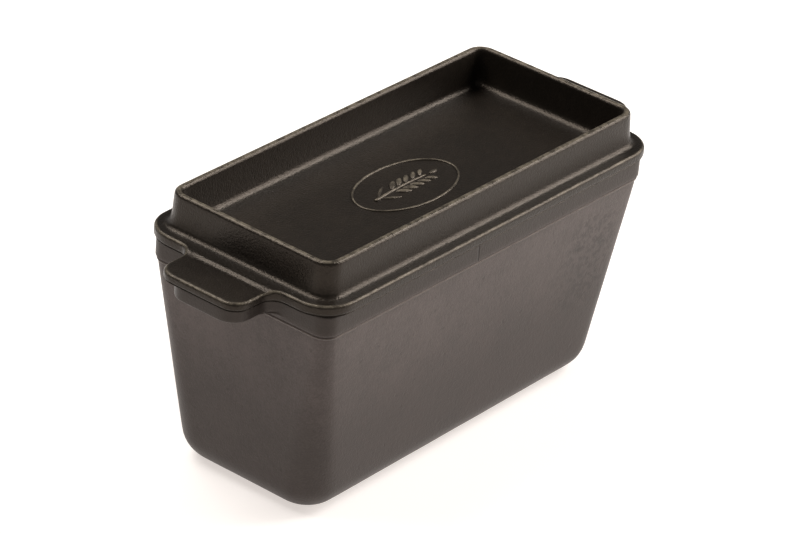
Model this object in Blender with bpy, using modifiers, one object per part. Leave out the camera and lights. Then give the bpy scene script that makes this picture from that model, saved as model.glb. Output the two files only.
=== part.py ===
"""Cast-iron loaf pan with a lift-off lid, in metres, +Z up.

The origin is under the middle of the pan's base, on the surface that the pan stands on. X runs
along the pan, with a tab handle at each end, and Y runs across it. The object is two castings:
the pan, and the lid, whose raised wall makes a shallow tray on top.
"""
import math

import bmesh
import bpy

# Whole object
LID_GAP = 0.0003
WALL = 0.005

# Pan: a drafted trough
PAN_HEIGHT = 0.1429
PAN_FOOT_HALF_X = 0.1316
PAN_FOOT_HALF_Y = 0.0532
PAN_DRAFT = 0.0925
PAN_CORNER_RADIUS_LOW = 0.0228
PAN_CORNER_RADIUS_HIGH = 0.0085
PAN_FOOT_RADIUS = 0.0170
FLOOR_THICKNESS = 0.0060
CAVITY_FOOT_RADIUS = 0.0110

# Pan: the band around its mouth, and the tab handles cast with it
BAND_HALF_X = 0.1445
BAND_HALF_Y = 0.0661
BAND_HEIGHT = 0.0126
BAND_CORNER_RADIUS = 0.0100
PAN_TAB_REACH = 0.1748
PAN_TAB_HALF_WIDTH = 0.0255
PAN_TAB_THICKNESS = 0.0098
PAN_TAB_DROP = 0.0004
PAN_TAB_CORNER = 0.0120

# Lid: a flange plate with tab handles, a raised wall and the tray inside it
FLANGE_HALF_X = 0.1496
FLANGE_HALF_Y = 0.0700
FLANGE_THICKNESS = 0.0072
FLANGE_CORNER_RADIUS = 0.0212
LID_TAB_REACH = 0.1788
LID_TAB_HALF_WIDTH = 0.0300
LID_TAB_CORNER = 0.0110
LID_TAB_STEP_X = 0.1525
LID_TAB_STEP = 0.0012
TAB_NECK_RADIUS = 0.0080
TAB_FLARE = 0.0010
TRAY_WALL_TOP = 0.1717
TRAY_WALL_HALF_X = 0.1391
TRAY_WALL_HALF_Y = 0.0599
TRAY_DRAFT = 0.0520
TRAY_CORNER_RADIUS = 0.0112
TRAY_RIM_WIDTH = 0.0050
TRAY_FLOOR_Z = 0.1480
TRAY_FLOOR_RADIUS = 0.0045

# Lid: the lip underneath that keeps it centred in the pan's mouth
LIP_DEPTH = 0.0060
LIP_CLEARANCE = 0.0020
LIP_WIDTH = 0.0050
LIP_CORNER_RADIUS = 0.0070

# Lid: the plain oval badge ring on the tray floor
BADGE_HALF_X = 0.0420
BADGE_HALF_Y = 0.0243
BADGE_RING_WIDTH = 0.0022
BADGE_HEIGHT = 0.0010

# Edges and facets
ROUND_EDGE = 0.0016
TRAY_WALL_EDGE = 0.0022
RIM_EDGE = 0.0010
ARC_STEPS = 6
OVAL_STEPS = 48
OVERLAP = 0.0020


def clear_scene():
    """Remove whatever the file already holds."""
    for thing in list(bpy.data.objects):
        bpy.data.objects.remove(thing, do_unlink=True)


def new_collection(name):
    """Add a collection to the scene."""
    collection = bpy.data.collections.new(name)
    bpy.context.scene.collection.children.link(collection)
    return collection


def move_to(thing, collection):
    """Put an object in one collection only."""
    for owner in list(thing.users_collection):
        owner.objects.unlink(thing)
    collection.objects.link(thing)


def iron(name, color, roughness):
    """Make a seasoned cast-iron material."""
    material = bpy.data.materials.new(name)
    material.use_nodes = True
    shader = material.node_tree.nodes["Principled BSDF"]
    shader.inputs["Base Color"].default_value = (*color, 1.0)
    shader.inputs["Roughness"].default_value = roughness
    shader.inputs["Metallic"].default_value = 0.6
    return material


def slide_corner(value, old_half, old_radius, new_half, new_radius):
    """Carry one coordinate of a round-cornered outline over to another size and radius."""
    middle = old_half - old_radius
    turn = max(abs(value) - middle, 0.0) / old_radius
    return math.copysign(new_half - new_radius + turn * new_radius, value)


def drafted_block(name, half_x, half_y, bottom, top, draft, radius_low, radius_high, foot_radius):
    """Make a block that widens upwards by draft, with round corners and a round lower edge.

    half_x and half_y are measured at the bottom, and the corners go from radius_low there to
    radius_high at the top. A negative draft makes the block narrow upwards, and a foot_radius
    of zero leaves the lower edge sharp.
    """
    middle = (bottom + top) / 2.0
    bpy.ops.mesh.primitive_cube_add(size=2.0, location=(0.0, 0.0, 0.0))
    block = bpy.context.object
    block.name = name
    for vertex in block.data.vertices:
        vertex.co.x *= half_x
        vertex.co.y *= half_y
        vertex.co.z = middle + vertex.co.z * (top - bottom) / 2.0
    mesh = bmesh.new()
    mesh.from_mesh(block.data)
    upright = [edge for edge in mesh.edges if abs(edge.verts[0].co.z - edge.verts[1].co.z) > 0.001]
    bmesh.ops.bevel(mesh, geom=upright, offset=radius_low, segments=ARC_STEPS,
                    profile=0.5, affect="EDGES")
    growth = draft * (top - bottom)
    for vertex in mesh.verts:
        if vertex.co.z > middle:
            vertex.co.x = slide_corner(vertex.co.x, half_x, radius_low, half_x + growth, radius_high)
            vertex.co.y = slide_corner(vertex.co.y, half_y, radius_low, half_y + growth, radius_high)
    mesh.normal_update()
    if foot_radius > 0.0:
        low = [edge for edge in mesh.edges if max(end.co.z for end in edge.verts) < bottom + 1e-6]
        bmesh.ops.bevel(mesh, geom=low, offset=foot_radius, segments=4, profile=0.5,
                        affect="EDGES")
    mesh.to_mesh(block.data)
    mesh.free()
    return block


def arc(center_x, center_y, radius, start, end):
    """List the points of an arc, from the angle start to the angle end, in degrees."""
    points = []
    for step in range(ARC_STEPS + 1):
        angle = math.radians(start + (end - start) * step / ARC_STEPS)
        points.append((center_x + radius * math.cos(angle), center_y + radius * math.sin(angle)))
    return points


def rounded_rectangle(half_x, half_y, radius):
    """List the outline of a rectangle with round corners, anticlockwise."""
    points = arc(half_x - radius, half_y - radius, radius, 0, 90)
    points += arc(radius - half_x, half_y - radius, radius, 90, 180)
    points += arc(radius - half_x, radius - half_y, radius, 180, 270)
    points += arc(half_x - radius, radius - half_y, radius, 270, 360)
    return points


def tab_corner(edge_x, reach, half_width, corner):
    """List the outline from the middle of a tab's end round to the edge that it grows from.

    The points run anticlockwise: round the tab's outer corner, along its side, which flares a
    little, and out through the hollow neck into the edge at edge_x.
    """
    neck_y = half_width + TAB_FLARE + TAB_NECK_RADIUS
    points = arc(reach - corner, half_width - corner, corner, 0, 90)
    points += arc(edge_x + TAB_NECK_RADIUS, neck_y, TAB_NECK_RADIUS, 270, 180)
    return points


def tabbed_rectangle(half_x, half_y, radius, reach, half_width, corner):
    """List the outline of a round-cornered rectangle with a tab handle at each end."""
    quarter = tab_corner(half_x, reach, half_width, corner)
    quarter += arc(half_x - radius, half_y - radius, radius, 0, 90)
    upper = quarter + [(-x, y) for x, y in reversed(quarter)]
    return upper + [(-x, -y) for x, y in upper]


def oval(half_x, half_y):
    """List the outline of an oval."""
    turns = [math.tau * step / OVAL_STEPS for step in range(OVAL_STEPS)]
    return [(half_x * math.cos(turn), half_y * math.sin(turn)) for turn in turns]


def plate(name, outlines, bottom, top):
    """Make a flat plate from its outline, and from those of any holes in it."""
    curve = bpy.data.curves.new(name, "CURVE")
    curve.dimensions = "2D"
    curve.fill_mode = "BOTH"
    curve.extrude = (top - bottom) / 2.0
    for outline in outlines:
        spline = curve.splines.new("POLY")
        spline.points.add(len(outline) - 1)
        for point, (x, y) in zip(spline.points, outline):
            point.co = (x, y, 0.0, 1.0)
        spline.use_cyclic_u = True
    flat = bpy.data.objects.new(name + "_outline", curve)
    flat.location.z = (bottom + top) / 2.0
    bpy.context.scene.collection.objects.link(flat)
    bpy.context.view_layer.update()
    evaluated = flat.evaluated_get(bpy.context.evaluated_depsgraph_get())
    solid = bpy.data.objects.new(name, bpy.data.meshes.new_from_object(evaluated))
    solid.matrix_world = flat.matrix_world.copy()
    bpy.context.scene.collection.objects.link(solid)
    bpy.data.objects.remove(flat, do_unlink=True)
    mesh = bmesh.new()
    mesh.from_mesh(solid.data)
    bmesh.ops.remove_doubles(mesh, verts=mesh.verts, dist=0.00001)
    bmesh.ops.dissolve_limit(mesh, angle_limit=math.radians(1.0), verts=mesh.verts,
                             edges=mesh.edges)
    mesh.to_mesh(solid.data)
    mesh.free()
    return solid


def round_edges(piece, width):
    """Round a piece's sharp edges."""
    bevel = piece.modifiers.new("Round edges", "BEVEL")
    bevel.width = width
    bevel.segments = 2
    bevel.limit_method = "ANGLE"
    bevel.angle_limit = math.radians(50.0)


def combine(piece, tool, operation, cutters):
    """Join a shape to a piece or cut it away, and put the shape with the cutters."""
    boolean = piece.modifiers.new(operation.title() + " " + tool.name, "BOOLEAN")
    boolean.operation = operation
    boolean.solver = "EXACT"
    boolean.object = tool
    tool.hide_render = True
    tool.display_type = "WIRE"
    move_to(tool, cutters)


def finish_casting(piece, material, parts):
    """Give a casting its material and shading, and put it with the parts."""
    piece.data.materials.clear()
    piece.data.materials.append(material)
    piece.data.shade_smooth()
    piece.data.set_sharp_from_angle(angle=math.radians(35.0))
    move_to(piece, parts)


def cavity_half(height):
    """Give the half length and half width of the pan's cavity at a height."""
    spread = PAN_DRAFT * height - WALL
    return PAN_FOOT_HALF_X + spread, PAN_FOOT_HALF_Y + spread


def make_pan(parts, cutters):
    """Make the pan: the trough, the band around its mouth, the tabs, and the cavity."""
    rim_underlap = PAN_HEIGHT - OVERLAP
    pan = drafted_block("pan", PAN_FOOT_HALF_X, PAN_FOOT_HALF_Y, 0.0, rim_underlap, PAN_DRAFT,
                        PAN_CORNER_RADIUS_LOW, PAN_CORNER_RADIUS_HIGH, PAN_FOOT_RADIUS)

    band_outline = rounded_rectangle(BAND_HALF_X, BAND_HALF_Y, BAND_CORNER_RADIUS)
    band = plate("band_shape", [band_outline], PAN_HEIGHT - BAND_HEIGHT, PAN_HEIGHT)
    round_edges(band, RIM_EDGE)

    tab_top = PAN_HEIGHT - PAN_TAB_DROP
    inner_x = BAND_HALF_X - OVERLAP
    tab_outline = tabbed_rectangle(inner_x, PAN_TAB_HALF_WIDTH + 2.0 * TAB_NECK_RADIUS,
                                   OVERLAP, PAN_TAB_REACH, PAN_TAB_HALF_WIDTH, PAN_TAB_CORNER)
    tabs = plate("pan_tab_shape", [tab_outline], tab_top - PAN_TAB_THICKNESS, tab_top)
    round_edges(tabs, ROUND_EDGE)

    cavity_x, cavity_y = cavity_half(FLOOR_THICKNESS)
    cavity = drafted_block("cavity_cutter", cavity_x, cavity_y, FLOOR_THICKNESS,
                           PAN_HEIGHT + OVERLAP, PAN_DRAFT, PAN_CORNER_RADIUS_LOW - WALL,
                           PAN_CORNER_RADIUS_HIGH - WALL, CAVITY_FOOT_RADIUS)

    combine(pan, band, "UNION", cutters)
    combine(pan, tabs, "UNION", cutters)
    combine(pan, cavity, "DIFFERENCE", cutters)
    finish_casting(pan, iron("pan_iron", (0.055, 0.047, 0.044), 0.42), parts)
    return pan


def tab_step_cutter(side):
    """Make the block that lowers the top of the tab handle at one end of the lid."""
    reach = LID_TAB_REACH + OVERLAP
    top = LID_GAP + PAN_HEIGHT + FLANGE_THICKNESS
    bpy.ops.mesh.primitive_cube_add(size=1.0)
    cutter = bpy.context.object
    cutter.name = "tab_step_cutter_right" if side > 0 else "tab_step_cutter_left"
    cutter.location = (side * (LID_TAB_STEP_X + reach) / 2.0, 0.0, top)
    cutter.scale = (reach - LID_TAB_STEP_X, 2.0 * FLANGE_HALF_Y, 2.0 * LID_TAB_STEP)
    return cutter


def make_lid(parts, cutters):
    """Make the lid: the flange with its tabs, the raised wall, the tray, the lip and the badge."""
    underside = PAN_HEIGHT + LID_GAP
    flange_top = underside + FLANGE_THICKNESS
    outline = tabbed_rectangle(FLANGE_HALF_X, FLANGE_HALF_Y, FLANGE_CORNER_RADIUS,
                               LID_TAB_REACH, LID_TAB_HALF_WIDTH, LID_TAB_CORNER)
    lid = plate("lid", [outline], underside, flange_top)
    for side in (1, -1):
        combine(lid, tab_step_cutter(side), "DIFFERENCE", cutters)
    round_edges(lid, ROUND_EDGE)

    wall_bottom = flange_top - OVERLAP
    spread = TRAY_DRAFT * (TRAY_WALL_TOP - wall_bottom)
    wall = drafted_block("tray_wall_shape", TRAY_WALL_HALF_X + spread,
                         TRAY_WALL_HALF_Y + spread, wall_bottom, TRAY_WALL_TOP, -TRAY_DRAFT,
                         TRAY_CORNER_RADIUS, TRAY_CORNER_RADIUS, 0.0)
    round_edges(wall, TRAY_WALL_EDGE)
    combine(lid, wall, "UNION", cutters)

    mouth_x, mouth_y = cavity_half(PAN_HEIGHT - LIP_DEPTH)
    lip_x = mouth_x - LIP_CLEARANCE
    lip_y = mouth_y - LIP_CLEARANCE
    inner_x = lip_x - LIP_WIDTH
    inner_y = lip_y - LIP_WIDTH
    lip_outlines = [rounded_rectangle(lip_x, lip_y, LIP_CORNER_RADIUS),
                    rounded_rectangle(inner_x, inner_y, LIP_CORNER_RADIUS - LIP_WIDTH)]
    lip = plate("lip_shape", lip_outlines, underside - LIP_DEPTH, underside + OVERLAP)
    combine(lid, lip, "UNION", cutters)

    slope = TRAY_DRAFT * (TRAY_WALL_TOP - TRAY_FLOOR_Z)
    tray = drafted_block("tray_cutter", TRAY_WALL_HALF_X - TRAY_RIM_WIDTH - slope,
                         TRAY_WALL_HALF_Y - TRAY_RIM_WIDTH - slope, TRAY_FLOOR_Z,
                         TRAY_WALL_TOP + slope, TRAY_DRAFT, TRAY_CORNER_RADIUS - TRAY_RIM_WIDTH,
                         TRAY_CORNER_RADIUS - TRAY_RIM_WIDTH, TRAY_FLOOR_RADIUS)
    combine(lid, tray, "DIFFERENCE", cutters)

    ring_outlines = [oval(BADGE_HALF_X, BADGE_HALF_Y),
                     oval(BADGE_HALF_X - BADGE_RING_WIDTH, BADGE_HALF_Y - BADGE_RING_WIDTH)]
    ring = plate("badge_ring_shape", ring_outlines, TRAY_FLOOR_Z - OVERLAP,
                 TRAY_FLOOR_Z + BADGE_HEIGHT)
    combine(lid, ring, "UNION", cutters)
    finish_casting(lid, iron("lid_iron", (0.040, 0.035, 0.032), 0.40), parts)
    return lid


def main():
    """Build the loaf pan."""
    clear_scene()
    parts = new_collection("loaf_pan")
    cutters = new_collection("cutters")
    make_pan(parts, cutters)
    make_lid(parts, cutters)


main()
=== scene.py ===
"""A cast-iron loaf pan with its tray lid: finished castings, badge, light and camera."""

import math

import bmesh
import bpy
from mathutils import Matrix, Vector, noise


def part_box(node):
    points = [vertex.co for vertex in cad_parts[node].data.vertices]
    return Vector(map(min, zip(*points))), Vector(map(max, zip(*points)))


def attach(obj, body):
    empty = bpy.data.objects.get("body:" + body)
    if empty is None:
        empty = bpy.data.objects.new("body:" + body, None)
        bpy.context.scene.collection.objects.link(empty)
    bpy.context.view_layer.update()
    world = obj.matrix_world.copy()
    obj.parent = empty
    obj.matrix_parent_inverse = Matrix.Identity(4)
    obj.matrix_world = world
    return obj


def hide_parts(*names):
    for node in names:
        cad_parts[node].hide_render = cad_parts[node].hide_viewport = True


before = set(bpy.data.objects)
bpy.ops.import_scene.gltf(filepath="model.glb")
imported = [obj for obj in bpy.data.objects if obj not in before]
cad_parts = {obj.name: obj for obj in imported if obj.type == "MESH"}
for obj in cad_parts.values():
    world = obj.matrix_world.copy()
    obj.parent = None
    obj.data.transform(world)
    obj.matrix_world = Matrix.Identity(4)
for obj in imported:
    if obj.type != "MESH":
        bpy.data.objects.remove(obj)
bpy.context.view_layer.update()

MM = 0.001

# How many steps each stretch of a quarter outline has, from the tab's end to the long side
TAB_END_STEPS = 3
TAB_CORNER_STEPS = 6
TAB_SIDE_STEPS = 2
NECK_STEPS = 5
END_SIDE_STEPS = 3
CORNER_STEPS = 8
LONG_SIDE_STEPS = 10
TAB_STEPS = TAB_END_STEPS + TAB_CORNER_STEPS + TAB_SIDE_STEPS + NECK_STEPS
QUARTER_STEPS = TAB_STEPS + END_SIDE_STEPS + CORNER_STEPS + LONG_SIDE_STEPS
RING_POINTS = 4 * QUARTER_STEPS

# The castings' far corners in the frame, in millimetres
LID_LOW, LID_HIGH = [[round(c / MM, 2) for c in corner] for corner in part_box("lid")]
PAN_HIGH = [round(c / MM, 2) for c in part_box("pan")[1]]

# Lid, in millimetres. An outline is half its length, half its width and its corner radius.
# A tab is its reach, half its width, its corner radius and the radius of its neck.
TRAY_FLOOR_Z = 148.0
TRAY_TOP_Z = LID_HIGH[2]
FLANGE_TOP_Z = 150.4
FLANGE_UNDER_Z = 143.2
LIP_BOTTOM_Z = LID_LOW[2]
TRAY_FLOOR = (132.87, 53.67, 6.2)
TRAY_MOUTH = (134.1, 54.9, 6.2)
TRAY_WALL = (139.1, 59.9, 11.2)
TRAY_WALL_FOOT = (140.2, 61.0, 11.2)
FLANGE = (149.6, LID_HIGH[1], 21.2)
LID_TAB = (LID_HIGH[0], 30.0, 11.0, 8.0)
LIP_OUTSIDE = (137.3, 58.9, 7.0)
LIP_INSIDE = (132.3, 53.9, 2.4)
TRAY_DRAFT = 0.052
TAB_STEP_X = 152.6
TAB_STEP_DROP = 1.2
TRAY_FILLET = 4.5
RIM_ROUND = 2.35
WALL_FOOT_FILLET = 3.7
FLANGE_ROUND = 2.0
# Wear and painted highlight on the flange's rounded top edge, one value for each ring down the
# round
FLANGE_EDGE_WEAR_AND_HIGHLIGHT = (0.45, 0.80, 0.90, 0.70, 0.35, 0.10)
LIP_ROUND = 1.0
LIP_FILLET = 0.9

# Heights and depths of the groove in the flange's side that shades the joint
JOINT_GROOVE = ((146.8, 0.0), (145.2, 0.0), (144.9, 0.15), (144.5, 1.1), (143.9, 1.2),
                (143.5, 0.7), (143.3, 0.9), (FLANGE_UNDER_Z, 1.4))

# Pan, in millimetres
PAN_FOOT = (131.6, 53.2)
PAN_DRAFT = 0.0925
FOOT_ROUND = 18.64
FOOT_INSET = 17.0
PAN_TOP_Z = PAN_HIGH[2]
BAND = (144.5, 66.1, 10.0)
BAND_BOTTOM_Z = 130.3
PAN_TAB = (PAN_HIGH[0], 25.5, 12.0, 8.0)
PAN_TAB_TOP_Z = 142.5
PAN_TAB_UNDER_Z = 132.7
PAN_WALL = 5.0
PAN_FLOOR_Z = 6.0
CAVITY_ROUND = 11.0
BAND_ROUND = 0.5
PAN_RIM_ROUND = 1.0
PAN_TAB_ROUND = 1.6

# Heights of the fine parting ridge below the band, and how far it stands proud
PARTING_RIDGE = ((127.2, -0.30), (127.9, 0.15), (128.3, 0.60), (128.8, 0.60), (129.3, 0.0))
# Wear and painted highlight on the parting ridge's proud crest
RIDGE_WEAR_AND_HIGHLIGHT = 0.72

# Badge, in millimetres
BADGE_OVAL = (39.5, 22.4)
BADGE_STEPS = 128
BADGE_RING_HALF_WIDTH = 0.9
BADGE_RING_HEIGHT = 1.0
BADGE_BASE_Z = TRAY_FLOOR_Z - 0.3
GRAIN_HEIGHT = 1.15
GRAIN_PAIRS = 5
GRAIN_LEAN = 34
LEAF_HEIGHT = 0.9

# Painted shade in coats: the height each gathers about, its reach, its cover and its colour
# Painted shade: a dark line at the joint under the lid's flange
JOINT_PAINTED_SHADE = (0.1431, 0.0013, 0.85, (0.006, 0.005, 0.004, 1.0))
PAN_PAINTED_SHADES = (
    # Painted shade on the band and tabs, under the lid flange's overhang
    (0.1375, 0.0105, 0.88, (0.020, 0.0155, 0.0125, 1.0)),
    # Painted shade: the walls darker towards the bottom
    (0.0, 0.118, 0.58, (0.016, 0.0125, 0.0105, 1.0)),
    # Painted contact shadow: a thin dark line along the foot
    (0.0, 0.0088, 0.80, (0.008, 0.0065, 0.0055, 1.0)),
)
BARE_DARK = (0.010, 0.008, 0.007, 1.0)

# Camera and light
CAMERA_TURN = -52.609
CAMERA_RISE = 29.070
CAMERA_ROLL = 5.001
CAMERA_DISTANCE = 2.41743
CAMERA_AIM = Vector((0.007115, 0.004383, 0.089624))
CAMERA_LENS = 187.34
FLOOR_TONE = (0.52, 0.52, 0.52, 1.0)
FLOOR_GLOW = (1.0, 0.92, 0.87, 1.0)
FLOOR_GLOW_STRENGTH = 0.64
ROOM_GLOW_STRENGTH = 0.13
SOFT_BOX_DISTANCE = 3.0
SOFT_BOX_AIM = Vector((0.0, 0.0, 0.1))

# Soft boxes: name, direction from the pan, width and depth in metres, watts and tint
SOFT_BOXES = (
    ("overhead_soft_box", (-0.17, 0.47, 0.86), 2.7, 1.3, 100.0, (1.0, 0.965, 0.92)),
    ("side_soft_box", (0.63, -0.36, 0.69), 1.4, 1.4, 84.0, (1.0, 0.97, 0.93)),
    ("front_fill", (0.74, -0.60, 0.31), 1.6, 1.1, 46.0, (1.0, 0.93, 0.87)),
)


# ---------------------------------------------------------------- outlines

def spread(start, end, steps):
    """Give evenly spaced values from start up to, but not including, end."""
    return [start + (end - start) * i / steps for i in range(steps)]


def arc_points(centre_x, centre_y, radius, start, end, steps):
    """Give points round an arc, without its last one."""
    points = []
    for angle in spread(math.radians(start), math.radians(end), steps):
        points.append((centre_x + radius * math.cos(angle), centre_y + radius * math.sin(angle)))
    return points


def body_quarter(half_x, half_y, radius, split_y):
    """Give the end side above split_y, the main corner and the long side of one quarter."""
    points = [(half_x, y) for y in spread(split_y, half_y - radius, END_SIDE_STEPS)]
    points += arc_points(half_x - radius, half_y - radius, radius, 0, 90, CORNER_STEPS)
    points += [(x, half_y) for x in spread(half_x - radius, 0.0, LONG_SIDE_STEPS)]
    points.append((0.0, half_y))
    return points


def plain_quarter(half_x, half_y, radius):
    """Give one quarter of a rounded rectangle, from the end's middle to the side's middle."""
    radius = max(min(radius, 0.8 * half_y), 0.3)
    split_y = min(38.0, 0.78 * (half_y - radius))
    points = [(half_x, y) for y in spread(0.0, split_y, TAB_STEPS)]
    return points + body_quarter(half_x, half_y, radius, split_y)


def tabbed_quarter(body, tab, inset):
    """Give one quarter of a rounded rectangle with a tab handle, the tab drawn in by inset."""
    half_x, half_y, radius = body
    reach, half_width, corner, neck = tab
    reach, half_width = reach - inset, half_width - inset
    corner, neck = corner - inset, neck + inset
    points = [(reach, y) for y in spread(0.0, half_width - corner, TAB_END_STEPS)]
    points += arc_points(reach - corner, half_width - corner, corner, 0, 90, TAB_CORNER_STEPS)
    points += [(x, half_width) for x in spread(reach - corner, half_x + neck, TAB_SIDE_STEPS)]
    points += arc_points(half_x + neck, half_width + neck, neck, 270, 180, NECK_STEPS)
    return points + body_quarter(half_x, half_y, radius, half_width + neck)


def close_ring(quarter):
    """Mirror a quarter outline into the whole closed ring."""
    back = quarter[:0:-1]
    ring = list(quarter[:-1])
    ring += [(-x, y) for x, y in back]
    ring += [(-x, -y) for x, y in quarter[:-1]]
    ring += [(x, -y) for x, y in back]
    return ring


def tab_share(index):
    """Say how far a ring point belongs to a tab: 1 on the tab, 0 on the body."""
    place = index % (2 * QUARTER_STEPS)
    place = min(place, 2 * QUARTER_STEPS - place)
    flat = TAB_STEPS - NECK_STEPS
    amount = min(max((TAB_STEPS - place) / NECK_STEPS, 0.0), 1.0) if place > flat else 1.0
    return amount * amount * (3.0 - 2.0 * amount)


def grown(outline, amount):
    """Grow a plain outline outwards by an amount."""
    return outline[0] + amount, outline[1] + amount, outline[2] + amount


# ---------------------------------------------------------------- sections

def plain_ring(outline, z, wear_and_highlight=0.0):
    """Make one level ring of a plain outline."""
    flat = close_ring(plain_quarter(*outline))
    return [(x, y, z) for x, y in flat], wear_and_highlight


def tab_ring(body, tab, inset, z_body, z_tab, wear_and_highlight=0.0):
    """Make one ring with tabs, its height going from the body's to the tab's."""
    flat = close_ring(tabbed_quarter(body, tab, inset))
    ring = []
    for index, (x, y) in enumerate(flat):
        share = tab_share(index)
        ring.append((x, y, z_body + (z_tab - z_body) * share))
    return ring, wear_and_highlight


def between(first, second, amount):
    """Make a ring without wear or painted highlight part of the way from one ring to another."""
    ring = []
    for a, b in zip(first[0], second[0]):
        ring.append(tuple(u + (v - u) * amount for u, v in zip(a, b)))
    return ring, 0.0


def rounded_turn(outline, centre, z, radius, start, end, steps, wear_and_highlight=0.0):
    """Make the rings of a rounded edge or fillet about an offset from the outline.

    Wear and a painted highlight gather on the crest of an edge and stay out of a fillet.
    """
    rings = []
    for i in range(steps + 1):
        angle = math.radians(start + (end - start) * i / steps)
        offset = centre + radius * math.cos(angle)
        crest = wear_and_highlight * max(math.sin(angle), 0.0) ** 2
        rings.append(plain_ring(grown(outline, offset), z + radius * math.sin(angle), crest))
    return rings


# ---------------------------------------------------------------- casting mesh

def lay_rings(mesh_name, rings):
    """Join stacked rings into one closed casting, with its wear and painted highlight value on
    each point.
    """
    bm = bmesh.new()
    wear_and_highlight_layer = bm.verts.layers.float.new("edge_wear_and_highlight")
    rows = []
    for ring, wear_and_highlight in rings:
        row = [bm.verts.new([c * MM for c in point]) for point in ring]
        for vert in row:
            vert[wear_and_highlight_layer] = wear_and_highlight
        rows.append(row)
    for lower, upper in zip(rows, rows[1:]):
        for i in range(RING_POINTS):
            j = (i + 1) % RING_POINTS
            bm.faces.new((lower[i], lower[j], upper[j], upper[i]))
    for row in (rows[0], rows[-1]):
        close_end(bm, row)
    bmesh.ops.recalc_face_normals(bm, faces=bm.faces)
    mesh = bpy.data.meshes.new(mesh_name)
    bm.to_mesh(mesh)
    bm.free()
    return mesh


def close_end(bm, row):
    """Close a ring with strips that run straight across it."""
    half = RING_POINTS // 2
    for i in range(half):
        corners = [row[i], row[i + 1], row[(-i - 1) % RING_POINTS], row[-i % RING_POINTS]]
        kept = [v for k, v in enumerate(corners) if v not in corners[:k]]
        bm.faces.new(kept)


def place(mesh, name):
    """Put a mesh in the scene with smooth shading."""
    for polygon in mesh.polygons:
        polygon.use_smooth = True
    piece = bpy.data.objects.new(name, mesh)
    bpy.context.scene.collection.objects.link(piece)
    return piece


def smoothed(piece, levels):
    """Round a cage off with subdivision and keep the result as the mesh."""
    modifier = piece.modifiers.new("round_off", "SUBSURF")
    modifier.levels = levels
    modifier.render_levels = levels
    graph = bpy.context.evaluated_depsgraph_get()
    finished = bpy.data.meshes.new_from_object(piece.evaluated_get(graph))
    piece.modifiers.clear()
    old = piece.data
    piece.data = finished
    bpy.data.meshes.remove(old)
    return piece


def ease(value, low, high):
    """Go smoothly from 0 at low to 1 at high."""
    t = min(max((value - low) / (high - low), 0.0), 1.0)
    return t * t * (3.0 - 2.0 * t)


def uneven_skin(piece, seed, broad, close):
    """Give a casting the slight waviness that a sand mould leaves."""
    shift = Vector((seed, 0.7 * seed, 1.3 * seed))
    points = [vert.co.copy() for vert in piece.data.vertices]
    normals = [vert.normal.copy() for vert in piece.data.vertices]
    moved = []
    for point, normal in zip(points, normals):
        wide = 0.5 + 0.5 * noise.noise(point * 38.0 + shift)
        tight = 0.5 + 0.5 * noise.noise(point * 160.0 + shift)
        moved.extend(point - normal * (wide * broad + tight * close))
    piece.data.vertices.foreach_set("co", moved)
    piece.data.update()


# ---------------------------------------------------------------- lid

def tray_rings():
    """Make the tray floor, its fillet, the inner wall and the rounded rim."""
    rings = []
    for inset in (49.4, 44.0, 34.0, 24.0, 14.0, 8.0, 5.2):
        rings.append(plain_ring(grown(TRAY_FLOOR, -inset), TRAY_FLOOR_Z))
    rings += rounded_turn(TRAY_FLOOR, -TRAY_FILLET, TRAY_FLOOR_Z + TRAY_FILLET, TRAY_FILLET,
                          -90, -3, 6)
    for z in (155.0, 160.0, 165.0):
        outline = grown(TRAY_FLOOR, TRAY_DRAFT * (z - TRAY_FLOOR_Z))
        rings.append(plain_ring(outline, z))
    rim_z = TRAY_TOP_Z - RIM_ROUND
    # The rim's crest carries wear and a painted highlight.
    rings += rounded_turn(TRAY_MOUTH, RIM_ROUND, rim_z, RIM_ROUND, 177, 93, 5, 1.0)
    rings += rounded_turn(TRAY_WALL, -RIM_ROUND, rim_z, RIM_ROUND, 87, 3, 5, 1.0)
    return rings


def tray_outside_rings():
    """Make the tray's outer wall and the hollow fillet at its foot."""
    rings = []
    for z in (165.5, 161.0, 157.0):
        outline = grown(TRAY_WALL, TRAY_DRAFT * (TRAY_TOP_Z - z))
        rings.append(plain_ring(outline, z))
    rings += rounded_turn(TRAY_WALL_FOOT, WALL_FOOT_FILLET, FLANGE_TOP_Z + WALL_FOOT_FILLET,
                          WALL_FOOT_FILLET, 183, 268, 6)
    return rings


def flange_rings(foot):
    """Make the flange with its tabs, from the foot of the wall round to the underside."""
    edge = tab_ring(grown(FLANGE, -FLANGE_ROUND), LID_TAB, FLANGE_ROUND, FLANGE_TOP_Z,
                    FLANGE_TOP_Z)
    rings = []
    for share in (0.08, 0.15, 0.19, 0.22, 0.25, 0.28, 0.31, 0.36, 0.46, 0.60, 0.76, 0.90):
        rings.append(between(foot, edge, share))
    for i, worn_and_highlit in enumerate(FLANGE_EDGE_WEAR_AND_HIGHLIGHT):
        angle = math.radians(90 - 18 * i)
        inset = FLANGE_ROUND - FLANGE_ROUND * math.cos(angle)
        z = FLANGE_TOP_Z - FLANGE_ROUND + FLANGE_ROUND * math.sin(angle)
        rings.append(tab_ring(grown(FLANGE, -inset), LID_TAB, inset, z, z, worn_and_highlit))
    for z, inset in JOINT_GROOVE:
        rings.append(tab_ring(grown(FLANGE, -inset), LID_TAB, inset, z, z))
    return rings


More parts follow.
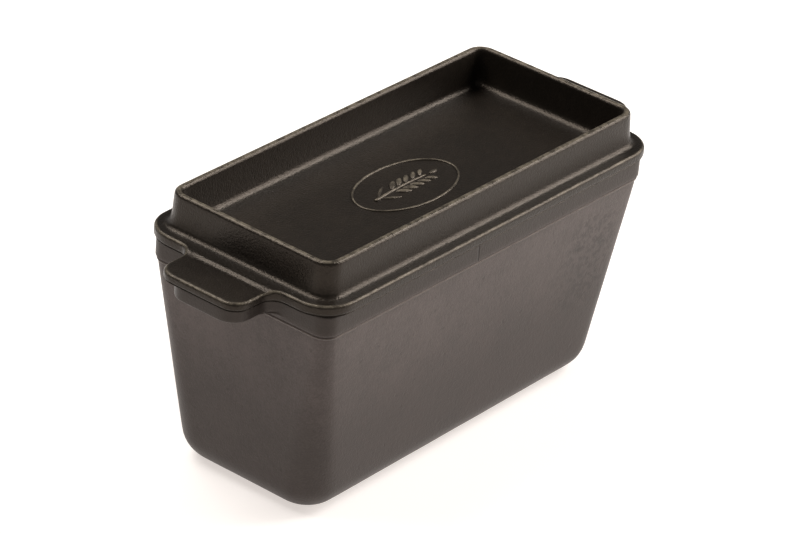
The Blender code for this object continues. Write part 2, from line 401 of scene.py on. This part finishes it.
def lip_rings(under_edge):
    """Make the flange's underside, the lip below it and the plain face inside the lip."""
    root = plain_ring(grown(LIP_OUTSIDE, 1.0), FLANGE_UNDER_Z)
    rings = [between(under_edge, root, share) for share in (0.2, 0.45, 0.7, 0.9)]
    root_z = FLANGE_UNDER_Z - LIP_FILLET
    tip_z = LIP_BOTTOM_Z + LIP_ROUND
    rings += rounded_turn(LIP_OUTSIDE, LIP_FILLET, root_z, LIP_FILLET, 90, 177, 3)
    rings += rounded_turn(LIP_OUTSIDE, -LIP_ROUND, tip_z, LIP_ROUND, 0, -90, 3)
    rings += rounded_turn(LIP_INSIDE, LIP_ROUND, tip_z, LIP_ROUND, 270, 180, 3)
    rings += rounded_turn(LIP_INSIDE, -LIP_FILLET, root_z, LIP_FILLET, 0, 90, 3)
    for inset in (6.0, 16.0, 28.0, 40.0, 49.6):
        rings.append(plain_ring(grown(LIP_INSIDE, -inset), FLANGE_UNDER_Z))
    return rings


def lower_tab_tops(piece):
    """Step the top of each lid tab down a little past the flange."""
    for vert in piece.data.vertices:
        past = ease(abs(vert.co.x) / MM, TAB_STEP_X - 1.3, TAB_STEP_X + 1.6)
        high = ease(vert.co.z / MM, 144.4, 148.2)
        low_enough = 1.0 - ease(vert.co.z / MM, 150.9, 151.6)
        vert.co.z -= TAB_STEP_DROP * MM * past * high * low_enough


def make_lid():
    """Make the lid casting."""
    rings = tray_rings()
    rings += tray_outside_rings()
    rings += flange_rings(rings[-1])
    rings += lip_rings(rings[-1])
    piece = smoothed(place(lay_rings("lid_casting", rings), "lid_casting"), 1)
    lower_tab_tops(piece)
    uneven_skin(piece, 3.1, 0.10 * MM, 0.05 * MM)
    return piece


# ---------------------------------------------------------------- pan

def pan_outline(z, inset=0.0):
    """Give the pan's outer outline at a height; its corners tighten towards the mouth."""
    spread_out = PAN_DRAFT * z - inset
    radius = 22.8 - 14.3 * z / 140.9 - inset
    return PAN_FOOT[0] + spread_out, PAN_FOOT[1] + spread_out, max(radius, 2.6)


def pan_foot_rings():
    """Make the base and the large round where it turns up into the walls."""
    rings = []
    for inset in (49.4, 42.0, 33.0, 24.0, 19.0):
        outline = (PAN_FOOT[0] - inset, PAN_FOOT[1] - inset, 3.2)
        rings.append(plain_ring(outline, 0.0))
    for i in range(10):
        angle = math.radians(84.72 * i / 9)
        z = FOOT_ROUND * (1.0 - math.cos(angle))
        inset = FOOT_INSET - FOOT_ROUND * math.sin(angle) + PAN_DRAFT * z
        rings.append(plain_ring(pan_outline(z, inset), z))
    return rings


def pan_wall_rings():
    """Make the drafted wall, the fine parting ridge and the band's lower edge."""
    rings = [plain_ring(pan_outline(z), z) for z in (28, 45, 62, 79, 96, 111, 121, 126.6)]
    for z, proud in PARTING_RIDGE:
        rings.append(plain_ring(pan_outline(z, -proud), z, RIDGE_WEAR_AND_HIGHLIGHT if proud > 0.2 else 0.0))
    rings.append(plain_ring(pan_outline(130.2), 130.2))
    rings += rounded_turn(BAND, -BAND_ROUND, BAND_BOTTOM_Z + BAND_ROUND, BAND_ROUND, -90, 0, 3)
    return rings


def pan_tab_rings():
    """Make the tab handles' undersides, ends and tops, with the band between them."""
    band_low = plain_ring(BAND, 131.6)
    band_high = plain_ring(BAND, 141.5)
    under = tab_ring(BAND, PAN_TAB, PAN_TAB_ROUND, 134.0, PAN_TAB_UNDER_Z)
    over = tab_ring(BAND, PAN_TAB, PAN_TAB_ROUND, 140.6, PAN_TAB_TOP_Z)
    rings = [band_low]
    rings += [between(band_low, under, share) for share in (0.10, 0.3, 0.6, 0.85)]
    # The tab's rounded edges carry wear and a painted highlight.
    for i in range(5):
        angle = math.radians(22.5 * i)
        inset = PAN_TAB_ROUND - PAN_TAB_ROUND * math.sin(angle)
        z_tab = PAN_TAB_UNDER_Z + PAN_TAB_ROUND - PAN_TAB_ROUND * math.cos(angle)
        rings.append(tab_ring(BAND, PAN_TAB, inset, 134.0 + 0.6 * i, z_tab, 0.3))
    for i in range(5):
        angle = math.radians(22.5 * i)
        inset = PAN_TAB_ROUND - PAN_TAB_ROUND * math.cos(angle)
        z_tab = PAN_TAB_TOP_Z - PAN_TAB_ROUND + PAN_TAB_ROUND * math.sin(angle)
        rings.append(tab_ring(BAND, PAN_TAB, inset, 138.2 + 0.6 * i, z_tab, 0.6))
    rings += [between(over, band_high, share) for share in (0.2, 0.5, 0.8, 0.95)]
    return rings


def pan_inside_rings():
    """Make the rim, the cavity wall, its fillet and the floor."""
    rim_z = PAN_TOP_Z - PAN_RIM_ROUND
    # The pan's rim carries wear and a painted highlight.
    rings = rounded_turn(BAND, -PAN_RIM_ROUND, rim_z, PAN_RIM_ROUND, 20, 90, 3, 0.5)
    mouth = pan_outline(PAN_TOP_Z, PAN_WALL)
    rings += rounded_turn(mouth, PAN_RIM_ROUND, rim_z, PAN_RIM_ROUND, 90, 178, 3, 0.5)
    for z in (136, 124, 106, 88, 70, 52, 36, 24):
        rings.append(plain_ring(pan_outline(z, PAN_WALL), z))
    for i in range(8):
        angle = math.radians(84.0 - 12.0 * i)
        z = PAN_FLOOR_Z + CAVITY_ROUND * (1.0 - math.cos(angle))
        inset = PAN_WALL + 10.0 - CAVITY_ROUND * math.sin(angle) + PAN_DRAFT * z
        rings.append(plain_ring(pan_outline(z, inset), z))
    for inset in (22.0, 32.0, 42.0, 49.0):
        outline = (PAN_FOOT[0] - inset, PAN_FOOT[1] - inset, 3.0)
        rings.append(plain_ring(outline, PAN_FLOOR_Z))
    return rings


def make_pan():
    """Make the pan casting."""
    rings = pan_foot_rings()
    rings += pan_wall_rings()
    rings += pan_tab_rings()
    rings += pan_inside_rings()
    piece = smoothed(place(lay_rings("pan_casting", rings), "pan_casting"), 1)
    uneven_skin(piece, 8.4, 0.16 * MM, 0.05 * MM)
    return piece


# ---------------------------------------------------------------- badge

def ridge(bm, path, half_width, height, closed):
    """Sweep a low rounded ridge along a flat path; its width may change along it."""
    rows = []
    count = len(path)
    for i, point in enumerate(path):
        before = path[(i - 1) % count] if closed or i else point
        after = path[(i + 1) % count] if closed or i < count - 1 else point
        along = (Vector(after) - Vector(before)).normalized()
        side = Vector((-along.y, along.x))
        taper = half_width(i / max(count - 1, 1))
        row = []
        for step in range(9):
            angle = math.pi * step / 8
            across = side * (taper * math.cos(angle))
            lift = BADGE_BASE_Z + height * (taper / half_width(0.5)) ** 0.5 * math.sin(angle)
            row.append(bm.verts.new(((point[0] + across.x) * MM, (point[1] + across.y) * MM,
                                     lift * MM)))
        rows.append(row)
    pairs = list(zip(rows, rows[1:]))
    if closed:
        pairs.append((rows[-1], rows[0]))
    for a, b in pairs:
        for k in range(9):
            m = (k + 1) % 9
            bm.faces.new((a[k], a[m], b[m], b[k]))
    if not closed:
        bm.faces.new(rows[0])
        bm.faces.new(rows[-1])


def grain_of_wheat(bm, x, y, angle, length, width):
    """Make one plump grain lying on the tray floor."""
    turn = Matrix.Rotation(math.radians(angle), 2)
    path = []
    for i in range(11):
        at = turn @ Vector((length * (i / 10.0 - 0.5), 0.0))
        path.append((x + at.x, y + at.y))

    def plump(t):
        """Give the grain's half width along its length."""
        return max(0.5 * width * math.sin(math.pi * (0.05 + 0.9 * t)) ** 0.8, 0.12)

    ridge(bm, path, plump, GRAIN_HEIGHT, False)


def badge_object(name, build):
    """Finish a raised badge piece as a closed mesh."""
    bm = bmesh.new()
    build(bm)
    bmesh.ops.recalc_face_normals(bm, faces=bm.faces)
    # The raised badge carries wear and a painted highlight, more the higher it stands.
    layer = bm.verts.layers.float.new("edge_wear_and_highlight")
    for vert in bm.verts:
        vert[layer] = ease(vert.co.z / MM, TRAY_FLOOR_Z + 0.1, TRAY_FLOOR_Z + 0.8)
    mesh = bpy.data.meshes.new(name)
    bm.to_mesh(mesh)
    bm.free()
    return place(mesh, name)


def build_badge_ring(bm):
    """Sweep the plain oval ring."""
    path = []
    for i in range(BADGE_STEPS):
        angle = 2 * math.pi * i / BADGE_STEPS
        path.append((BADGE_OVAL[0] * math.cos(angle), BADGE_OVAL[1] * math.sin(angle)))
    ridge(bm, path, lambda t: BADGE_RING_HALF_WIDTH, BADGE_RING_HEIGHT, True)


def stem_y(x):
    """Give the bowed stem's sideways place along the ear."""
    return 1.6 * math.sin((x + 28) / 56 * math.pi) - 0.8


def build_wheat_ear(bm):
    """Lay out the wheat ear: a bowed stem, paired grains, a tip grain and two leaves."""
    stem = [(x, stem_y(x)) for x in spread(-28, 20, 24)]
    ridge(bm, stem, lambda t: 1.15 - 0.4 * t, GRAIN_HEIGHT, False)
    for i in range(GRAIN_PAIRS):
        x = -8.0 + 6.0 * i
        for side in (1, -1):
            grain_of_wheat(bm, x + 2.0, stem_y(x) + side * 4.4, side * GRAIN_LEAN,
                           10.4 - 0.5 * i, 4.4 - 0.2 * i)
    grain_of_wheat(bm, 24.6, 0.0, 0, 8.0, 3.1)
    for side in (1, -1):
        leaf = [(-24 + t * 13, side * (0.4 + 7.4 * math.sin(t * 1.25))) for t in spread(0, 1, 14)]
        ridge(bm, leaf, lambda t: 0.25 + 1.1 * math.sin(math.pi * (0.08 + 0.84 * t)),
              LEAF_HEIGHT, False)


# ---------------------------------------------------------------- finish groups

def new_group(name, inputs, outputs):
    """Start a node group with named number and colour sockets."""
    group = bpy.data.node_groups.new(name, "ShaderNodeTree")
    for label, kind, value in inputs:
        socket = group.interface.new_socket(label, in_out="INPUT", socket_type=kind)
        socket.default_value = value
    for label, kind in outputs:
        group.interface.new_socket(label, in_out="OUTPUT", socket_type=kind)
    start = group.nodes.new("NodeGroupInput")
    end = group.nodes.new("NodeGroupOutput")
    return group, start, end


def noise_node(tree, source, scale, detail, roughness=0.55):
    """Add a noise texture that reads the piece's own coordinates."""
    node = tree.nodes.new("ShaderNodeTexNoise")
    node.inputs["Scale"].default_value = scale
    node.inputs["Detail"].default_value = detail
    node.inputs["Roughness"].default_value = roughness
    tree.links.new(source, node.inputs["Vector"])
    return node.outputs["Fac"]


def reshape(tree, value, low, high, out_low=0.0, out_high=1.0):
    """Map a value from one range to another, held at its ends."""
    node = tree.nodes.new("ShaderNodeMapRange")
    node.interpolation_type = "SMOOTHSTEP"
    tree.links.new(value, node.inputs["Value"])
    node.inputs["From Min"].default_value = low
    node.inputs["From Max"].default_value = high
    node.inputs["To Min"].default_value = out_low
    node.inputs["To Max"].default_value = out_high
    return node.outputs["Result"]


def maths(tree, operation, first, second):
    """Add a maths node on two values or numbers."""
    node = tree.nodes.new("ShaderNodeMath")
    node.operation = operation
    for socket, value in zip(node.inputs, (first, second)):
        if isinstance(value, (int, float)):
            socket.default_value = value
        else:
            tree.links.new(value, socket)
    return node.outputs["Value"]


def blend_colours(tree, amount, first, second):
    """Add a colour mix; either colour may be a socket or four numbers."""
    node = tree.nodes.new("ShaderNodeMix")
    node.data_type = "RGBA"
    tree.links.new(amount, node.inputs["Factor"])
    for socket, value in ((node.inputs[6], first), (node.inputs[7], second)):
        if isinstance(value, tuple):
            socket.default_value = value
        else:
            tree.links.new(value, socket)
    return node.outputs[2]


def cast_grain_group():
    """Make the height of a sand-cast skin: close sand grain, broader lumps and a few pits."""
    group, start, end = new_group(
        "Sand cast grain",
        [("Grain", "NodeSocketFloat", 1.0), ("Lumps", "NodeSocketFloat", 1.0),
         ("Pits", "NodeSocketFloat", 1.0)],
        [("Height", "NodeSocketFloat"), ("Pit mask", "NodeSocketFloat")])
    place_in = group.nodes.new("ShaderNodeTexCoord").outputs["Object"]
    sand = noise_node(group, place_in, 860.0, 2.0, 0.65)
    lumps = noise_node(group, place_in, 300.0, 3.0, 0.5)
    spots = noise_node(group, place_in, 230.0, 1.0, 0.4)
    pits = reshape(group, spots, 0.70, 0.78)
    total = maths(group, "MULTIPLY", sand, start.outputs["Grain"])
    lump_part = maths(group, "MULTIPLY", lumps, start.outputs["Lumps"])
    pit_part = maths(group, "MULTIPLY", pits, start.outputs["Pits"])
    total = maths(group, "ADD", total, lump_part)
    total = maths(group, "SUBTRACT", total, pit_part)
    group.links.new(total, end.inputs["Height"])
    group.links.new(pits, end.inputs["Pit mask"])
    return group


def seasoning_group():
    """Make the cloudy tone of baked-on seasoning."""
    group, start, end = new_group(
        "Baked seasoning",
        [("Thin", "NodeSocketColor", (0.05, 0.04, 0.04, 1)),
         ("Thick", "NodeSocketColor", (0.03, 0.02, 0.02, 1)),
         ("Gloss", "NodeSocketFloat", 0.40), ("Gloss change", "NodeSocketFloat", 0.05)],
        [("Color", "NodeSocketColor"), ("Roughness", "NodeSocketFloat")])
    place_in = group.nodes.new("ShaderNodeTexCoord").outputs["Object"]
    clouds = noise_node(group, place_in, 26.0, 5.0, 0.62)
    mottle = noise_node(group, place_in, 170.0, 4.0, 0.6)
    specks = noise_node(group, place_in, 900.0, 2.0, 0.6)
    both = maths(group, "ADD", clouds, maths(group, "MULTIPLY", mottle, 0.7))
    both = maths(group, "ADD", both, maths(group, "MULTIPLY", specks, 1.1))
    tone = reshape(group, both, 1.08, 1.72)
    mixed = group.nodes.new("ShaderNodeMix")
    mixed.data_type = "RGBA"
    group.links.new(tone, mixed.inputs["Factor"])
    group.links.new(start.outputs["Thick"], mixed.inputs[6])
    group.links.new(start.outputs["Thin"], mixed.inputs[7])
    group.links.new(mixed.outputs[2], end.inputs["Color"])
    change = maths(group, "MULTIPLY", maths(group, "SUBTRACT", tone, 0.5),
                   start.outputs["Gloss change"])
    rough = maths(group, "ADD", start.outputs["Gloss"], change)
    group.links.new(rough, end.inputs["Roughness"])
    return group


def rubbed_and_highlit_edge_group():
    """Make the broken mask of an edge rubbed back by handling, which is also a painted highlight
    along the crests.
    """
    group, start, end = new_group(
        "Rubbed edge and painted highlight", [("Amount", "NodeSocketFloat", 1.0)], [("Mask", "NodeSocketFloat")])
    attribute = group.nodes.new("ShaderNodeAttribute")
    attribute.attribute_name = "edge_wear_and_highlight"
    place_in = group.nodes.new("ShaderNodeTexCoord").outputs["Object"]
    patches = reshape(group, noise_node(group, place_in, 140.0, 4.0, 0.7), 0.36, 0.62, 0.18, 1.0)
    crest = reshape(group, attribute.outputs["Fac"], 0.35, 1.0)
    mask = maths(group, "MULTIPLY", crest, patches)
    mask = maths(group, "MULTIPLY", mask, start.outputs["Amount"])
    group.links.new(mask, end.inputs["Mask"])
    return group


def painted_shade_group():
    """Make the mask of painted shade that gathers about one height, such as a joint or the foot.
    """
    group, start, end = new_group(
        "Painted shade at a height",
        [("Height", "NodeSocketFloat", 0.0), ("Reach", "NodeSocketFloat", 0.001)],
        [("Mask", "NodeSocketFloat")])
    place_in = group.nodes.new("ShaderNodeTexCoord").outputs["Object"]
    axes = group.nodes.new("ShaderNodeSeparateXYZ")
    group.links.new(place_in, axes.inputs["Vector"])
    away = maths(group, "SUBTRACT", axes.outputs["Z"], start.outputs["Height"])
    away = maths(group, "DIVIDE", maths(group, "ABSOLUTE", away, 0.0), start.outputs["Reach"])
    group.links.new(reshape(group, away, 1.0, 0.35), end.inputs["Mask"])
    return group


# ---------------------------------------------------------------- iron finishes

def use_group(tree, group, **values):
    """Place a finish group in a material, with its own values."""
    node = tree.nodes.new("ShaderNodeGroup")
    node.node_tree = group
    for label, value in values.items():
        node.inputs[label.replace("_", " ")].default_value = value
    return node


def seam_and_stain(tree):
    """Mark the short mould seam on the front band and the stained end of the front wall."""
    place_in = tree.nodes.new("ShaderNodeTexCoord").outputs["Object"]
    axes = tree.nodes.new("ShaderNodeSeparateXYZ")
    tree.links.new(place_in, axes.inputs["Vector"])
    x, y, z = axes.outputs
    on_front = reshape(tree, y, -0.045, -0.053)
    off_line = maths(tree, "ABSOLUTE", maths(tree, "ADD", x, 0.0135), 0.0)
    line = reshape(tree, off_line, 0.0010, 0.0004)
    in_band = maths(tree, "MULTIPLY", reshape(tree, z, 0.1300, 0.1306),
                    reshape(tree, z, 0.1420, 0.1400))
    seam = maths(tree, "MULTIPLY", maths(tree, "MULTIPLY", line, in_band), on_front)
    blotch = reshape(tree, noise_node(tree, place_in, 280.0, 5.0, 0.70), 0.46, 0.58)
    far_end = maths(tree, "MULTIPLY", reshape(tree, x, 0.060, 0.098), on_front)
    far_end = maths(tree, "MULTIPLY", far_end, reshape(tree, x, 0.134, 0.112))
    below_band = maths(tree, "MULTIPLY", reshape(tree, z, 0.040, 0.070),
                       reshape(tree, z, 0.126, 0.110))
    stain = maths(tree, "MULTIPLY", maths(tree, "MULTIPLY", blotch, far_end), below_band)
    return seam, stain


def lay_painted_shade(tree, group, colour, shade_band):
    """Lay one band of painted shade over a colour."""
    height, reach, cover, tone = shade_band
    painted_shade = use_group(tree, group, Height=height, Reach=reach)
    amount = maths(tree, "MULTIPLY", painted_shade.outputs["Mask"], cover)
    return blend_colours(tree, amount, colour, tone)


def iron_finish(name, groups, thin, thick, rubbed_and_highlit, tint, shine, gloss, grain, wear_and_highlight,
                pan_marks_and_painted_shade=False):
    """Make one seasoned iron finish; grain is its sand grain, lumps and pits."""
    material = bpy.data.materials.new(name)
    material.use_nodes = True
    tree = material.node_tree
    shader = tree.nodes["Principled BSDF"]
    shader.inputs["Specular IOR Level"].default_value = shine
    shader.inputs["IOR"].default_value = 1.5
    shader.inputs["Specular Tint"].default_value = tint
    season = use_group(tree, groups["season"], Thin=thin, Thick=thick, Gloss=gloss)
    skin = use_group(tree, groups["grain"], Grain=grain[0], Lumps=grain[1], Pits=grain[2])
    edge = use_group(tree, groups["edge"], Amount=wear_and_highlight)
    # Edge crests get the rubbed colour: wear and a painted highlight.
    colour = blend_colours(tree, edge.outputs["Mask"], season.outputs["Color"], rubbed_and_highlit)
    pit = maths(tree, "MULTIPLY", skin.outputs["Pit mask"], 0.28)
    colour = blend_colours(tree, pit, colour, BARE_DARK)
    # Painted shade at the joint under the flange
    colour = lay_painted_shade(tree, groups["painted_shade"], colour, JOINT_PAINTED_SHADE)
    height = skin.outputs["Height"]
    if pan_marks_and_painted_shade:
        # Painted shade on the band, towards the bottom and along the foot
        for shade_band in PAN_PAINTED_SHADES:
            colour = lay_painted_shade(tree, groups["painted_shade"], colour, shade_band)
        seam, stain = seam_and_stain(tree)
        dark = maths(tree, "MAXIMUM", maths(tree, "MULTIPLY", seam, 0.8),
                     maths(tree, "MULTIPLY", stain, 0.55))
        colour = blend_colours(tree, dark, colour, BARE_DARK)
        height = maths(tree, "SUBTRACT", height, maths(tree, "MULTIPLY", seam, 2.0))
    bump = tree.nodes.new("ShaderNodeBump")
    bump.inputs["Strength"].default_value = 0.8
    bump.inputs["Distance"].default_value = 0.00026
    tree.links.new(height, bump.inputs["Height"])
    tree.links.new(bump.outputs["Normal"], shader.inputs["Normal"])
    tree.links.new(colour, shader.inputs["Base Color"])
    tree.links.new(season.outputs["Roughness"], shader.inputs["Roughness"])
    return material


def make_finishes():
    """Make the finishes of the lid, the pan and the badge."""
    groups = {"grain": cast_grain_group(), "season": seasoning_group(),
              "edge": rubbed_and_highlit_edge_group(), "painted_shade": painted_shade_group()}
    # Each rubbed colour is wear and a painted highlight on the edge crests.
    lid = iron_finish(
        "lid seasoned iron", groups,
        thin=(0.0125, 0.0098, 0.0076, 1), thick=(0.0088, 0.0072, 0.0058, 1),
        rubbed_and_highlit=(0.112, 0.096, 0.073, 1), tint=(1.0, 0.84, 0.70, 1),
        shine=0.27, gloss=0.30, grain=(1.3, 0.5, 0.4), wear_and_highlight=0.95)
    pan = iron_finish(
        "pan seasoned iron", groups,
        thin=(0.077, 0.0620, 0.0580, 1), thick=(0.048, 0.0388, 0.0362, 1),
        rubbed_and_highlit=(0.200, 0.165, 0.130, 1), tint=(1.0, 0.89, 0.83, 1),
        shine=0.30, gloss=0.44, grain=(0.8, 0.5, 0.25), wear_and_highlight=0.75, pan_marks_and_painted_shade=True)
    badge = iron_finish(
        "badge rubbed iron", groups,
        thin=(0.020, 0.0165, 0.0130, 1), thick=(0.012, 0.0100, 0.0082, 1),
        rubbed_and_highlit=(0.105, 0.090, 0.068, 1), tint=(1.0, 0.84, 0.68, 1),
        shine=0.42, gloss=0.34, grain=(1.0, 0.5, 0.4), wear_and_highlight=0.95)
    return lid, pan, badge


# ---------------------------------------------------------------- studio

def make_floor():
    """Lay the plain pale floor."""
    bm = bmesh.new()
    bmesh.ops.create_grid(bm, x_segments=8, y_segments=8, size=12.0)
    mesh = bpy.data.meshes.new("floor")
    bm.to_mesh(mesh)
    bm.free()
    floor = place(mesh, "floor")
    floor.location.z = -0.0002
    material = bpy.data.materials.new("pale floor")
    material.use_nodes = True
    shader = material.node_tree.nodes["Principled BSDF"]
    shader.inputs["Base Color"].default_value = FLOOR_TONE
    shader.inputs["Roughness"].default_value = 1.0
    shader.inputs["Specular IOR Level"].default_value = 0.0
    shader.inputs["Emission Color"].default_value = FLOOR_GLOW
    shader.inputs["Emission Strength"].default_value = FLOOR_GLOW_STRENGTH
    floor.data.materials.append(material)


def soft_light(name, direction, width, depth, power, tint):
    """Hang a soft box that faces the pan."""
    data = bpy.data.lights.new(name, "AREA")
    data.shape = "RECTANGLE"
    data.size = width
    data.size_y = depth
    data.energy = power
    data.color = tint
    light = bpy.data.objects.new(name, data)
    bpy.context.scene.collection.objects.link(light)
    away = Vector(direction).normalized()
    light.location = SOFT_BOX_AIM + away * SOFT_BOX_DISTANCE
    light.rotation_mode = "QUATERNION"
    light.rotation_quaternion = (-away).to_track_quat("-Z", "Y")


def make_lights():
    """Hang the soft boxes and light the room dimly."""
    for box in SOFT_BOXES:
        soft_light(*box)
    world = bpy.data.worlds.new("room")
    bpy.context.scene.world = world
    world.use_nodes = True
    background = world.node_tree.nodes["Background"]
    background.inputs["Color"].default_value = (1.0, 1.0, 1.0, 1.0)
    background.inputs["Strength"].default_value = ROOM_GLOW_STRENGTH


def make_camera():
    """Set the camera at the pan's front left, above it."""
    turn, rise, roll = (math.radians(v) for v in (CAMERA_TURN, CAMERA_RISE, CAMERA_ROLL))
    back = Vector((math.sin(turn) * math.cos(rise), -math.cos(turn) * math.cos(rise),
                   math.sin(rise)))
    right = Vector((math.cos(turn), math.sin(turn), 0.0))
    up = back.cross(right)
    across = math.cos(roll) * right + math.sin(roll) * up
    upward = math.cos(roll) * up - math.sin(roll) * right
    data = bpy.data.cameras.new("camera")
    data.sensor_width = 36.0
    data.lens = CAMERA_LENS
    data.clip_end = 50.0
    camera = bpy.data.objects.new("camera", data)
    bpy.context.scene.collection.objects.link(camera)
    spin = Matrix((across, upward, back)).transposed()
    camera.matrix_world = Matrix.Translation(CAMERA_AIM + CAMERA_DISTANCE * back) @ spin.to_4x4()
    bpy.context.scene.camera = camera


def fit_out(piece, body, material):
    """Give a piece its finish and the body that it moves with."""
    piece.data.materials.append(material)
    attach(piece, body)


bpy.context.scene.view_settings.view_transform = "Standard"
make_camera()
make_floor()
make_lights()

lid_finish, pan_finish, badge_finish = make_finishes()
lid = make_lid()
pan = make_pan()
badge_ring = badge_object("badge_ring", build_badge_ring)
wheat_ear = badge_object("wheat_ear", build_wheat_ear)

fit_out(lid, "lid", lid_finish)
fit_out(pan, "pan", pan_finish)
fit_out(badge_ring, "lid", badge_finish)
fit_out(wheat_ear, "lid", badge_finish)
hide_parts("lid")
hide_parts("pan")
